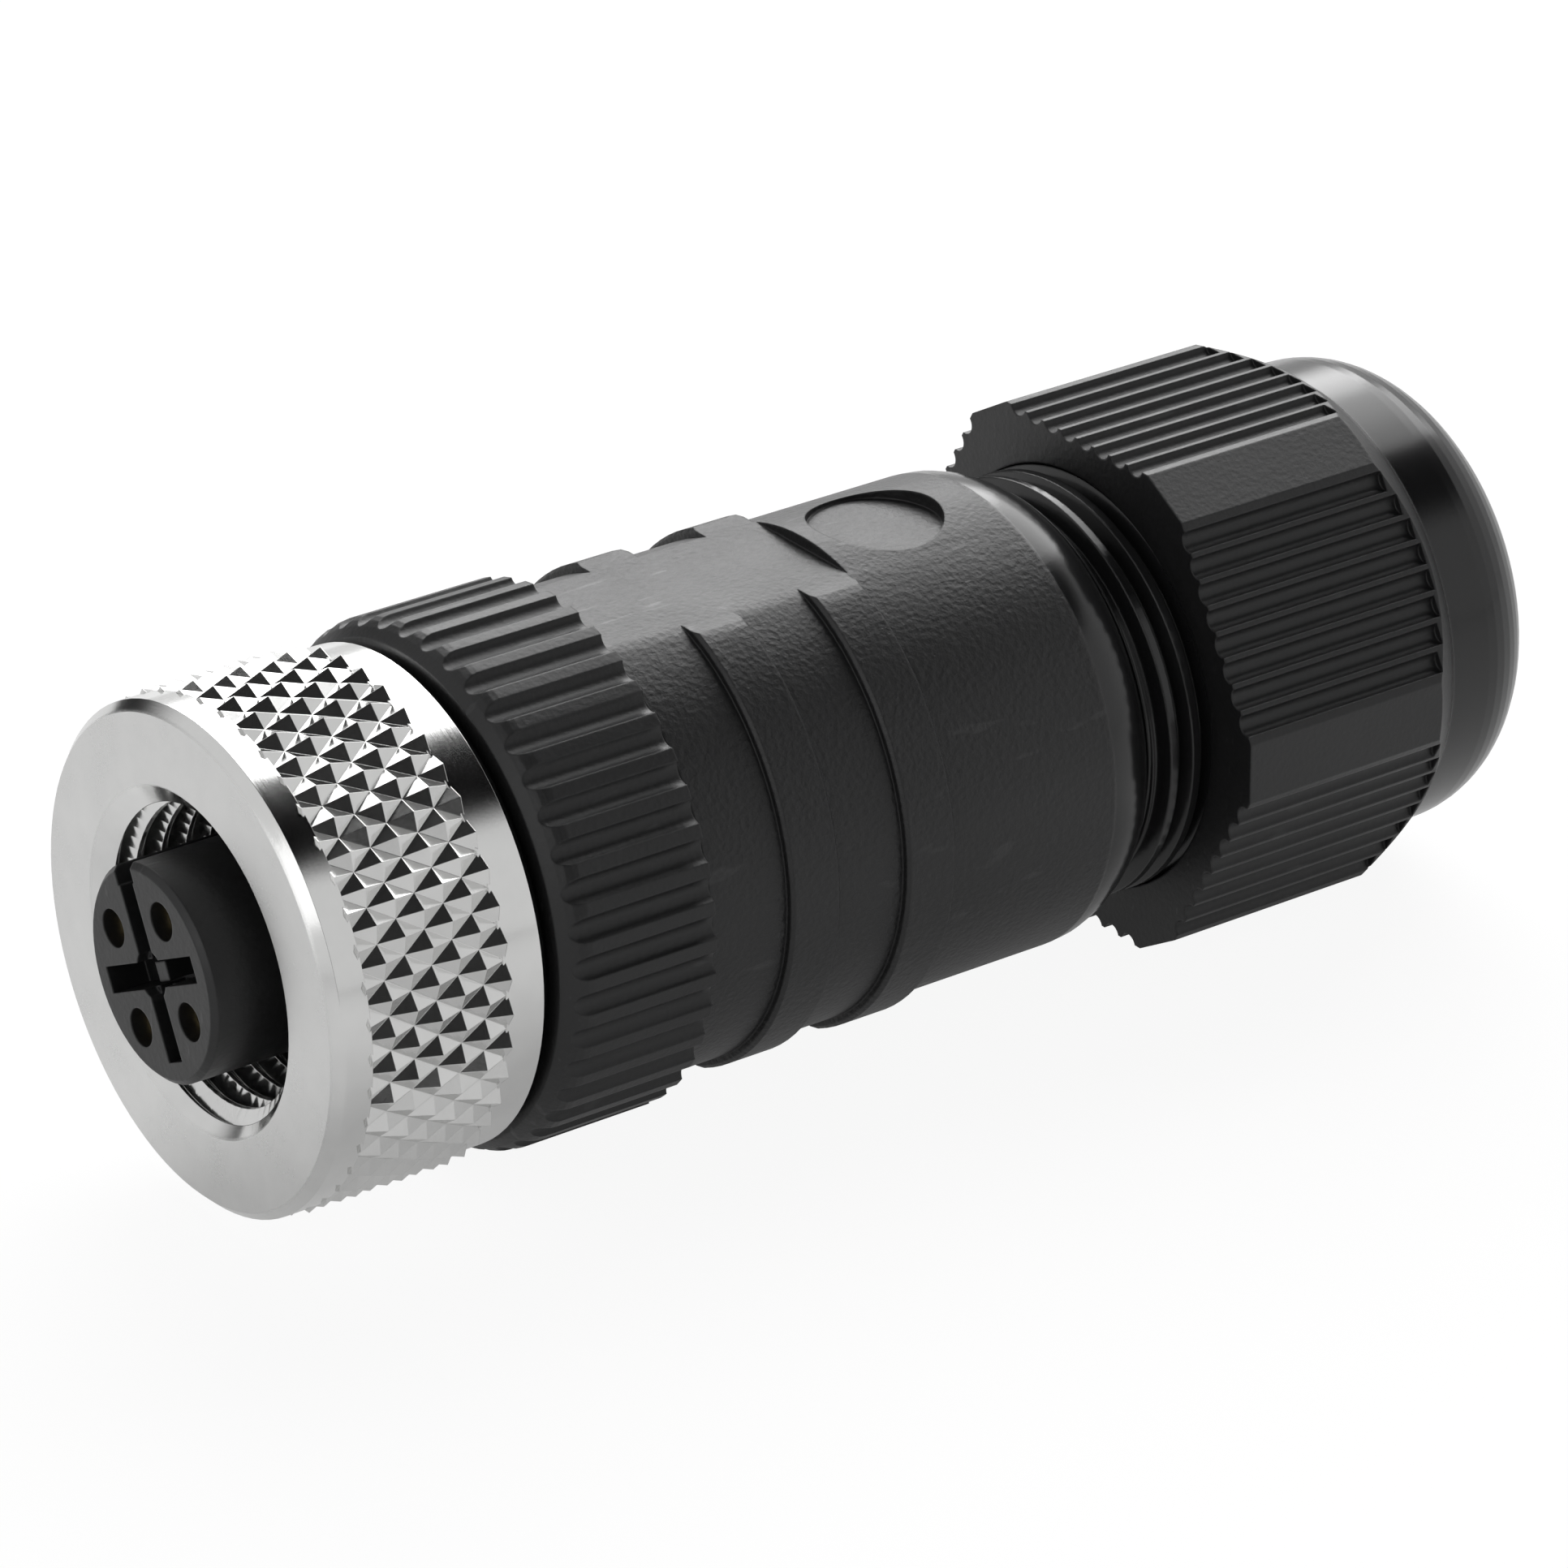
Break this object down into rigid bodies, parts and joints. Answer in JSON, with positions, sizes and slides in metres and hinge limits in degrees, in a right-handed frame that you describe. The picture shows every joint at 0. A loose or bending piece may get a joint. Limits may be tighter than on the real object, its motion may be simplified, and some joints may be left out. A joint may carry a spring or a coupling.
{
  "type": "m12 connector",
  "caption": "Straight field-wired round connector with a knurled metal coupling nut, ribbed collar, screw terminals and a fluted hexagonal cable gland nut.",
  "frame": {"origin": "on the connector's axis, in the plane of the coupling nut's front face", "axes": "+X from the mating face towards the cable, +Z square to the wrench flats"},
  "size_m": [0.0551, 0.0206, 0.0194],
  "materials": {
    "nut_metal": "nickel plated, satin with polished lands",
    "black_plastic": "moulded, fine grain with glossy shoulders",
    "insert_plastic": "moulded, smooth",
    "rubber": "smooth",
    "contact_brass": "gold plated",
    "spring_steel": "bright",
    "cage_plastic": "natural moulded"
  },
  "bodies": {
    "housing": {"housing": "black_plastic", "gland_seal": "rubber"},
    "carrier_seal": {"body_seal": "rubber"},
    "carrier": {"carrier": "black_plastic", "insert": "insert_plastic", "terminal_block": "insert_plastic", "contact_1": "contact_brass", "contact_2": "contact_brass", "contact_3": "contact_brass", "contact_4": "contact_brass", "contact_spring_1": "spring_steel", "contact_spring_2": "spring_steel", "contact_spring_3": "spring_steel", "contact_spring_4": "spring_steel", "terminal_screws": "spring_steel", "nose_seal": "rubber", "retaining_ring": "spring_steel"},
    "coupling_nut": {"coupling_nut": "nut_metal"},
    "cage": {"clamp_cage": "cage_plastic"},
    "gland_nut": {"gland_nut": "black_plastic"}
  },
  "joints": [
    {"name": "carrier_advance", "type": "slide", "parent": "housing", "child": "carrier_seal", "axis": [-1, 0, 0], "range_m": [0, 0.00551]},
    {"name": "carrier_turn", "type": "hinge", "parent": "carrier_seal", "child": "carrier", "pos_m": [0.0185, 0, 0], "axis": [-1, 0, 0], "range_deg": [0, 1980]},
    {"name": "coupling_nut_spin", "type": "hinge", "parent": "carrier", "child": "coupling_nut", "pos_m": [0.0079, 0, 0], "axis": [1, 0, 0], "continuous": true},
    {"name": "gland_advance", "type": "slide", "parent": "housing", "child": "cage", "axis": [-1, 0, 0], "range_m": [-0.00621, 0.00201], "deforming": ["gland_seal"]},
    {"name": "gland_turn", "type": "hinge", "parent": "cage", "child": "gland_nut", "pos_m": [0.0435, 0, 0], "axis": [-1, 0, 0], "range_deg": [-2232, 720]}
  ],
  "couplings": [
    {"joint": "carrier_advance", "follows": "carrier_turn", "m_per_rad": 0.00015915},
    {"joint": "gland_advance", "follows": "gland_turn", "m_per_rad": 0.00015915}
  ]
}
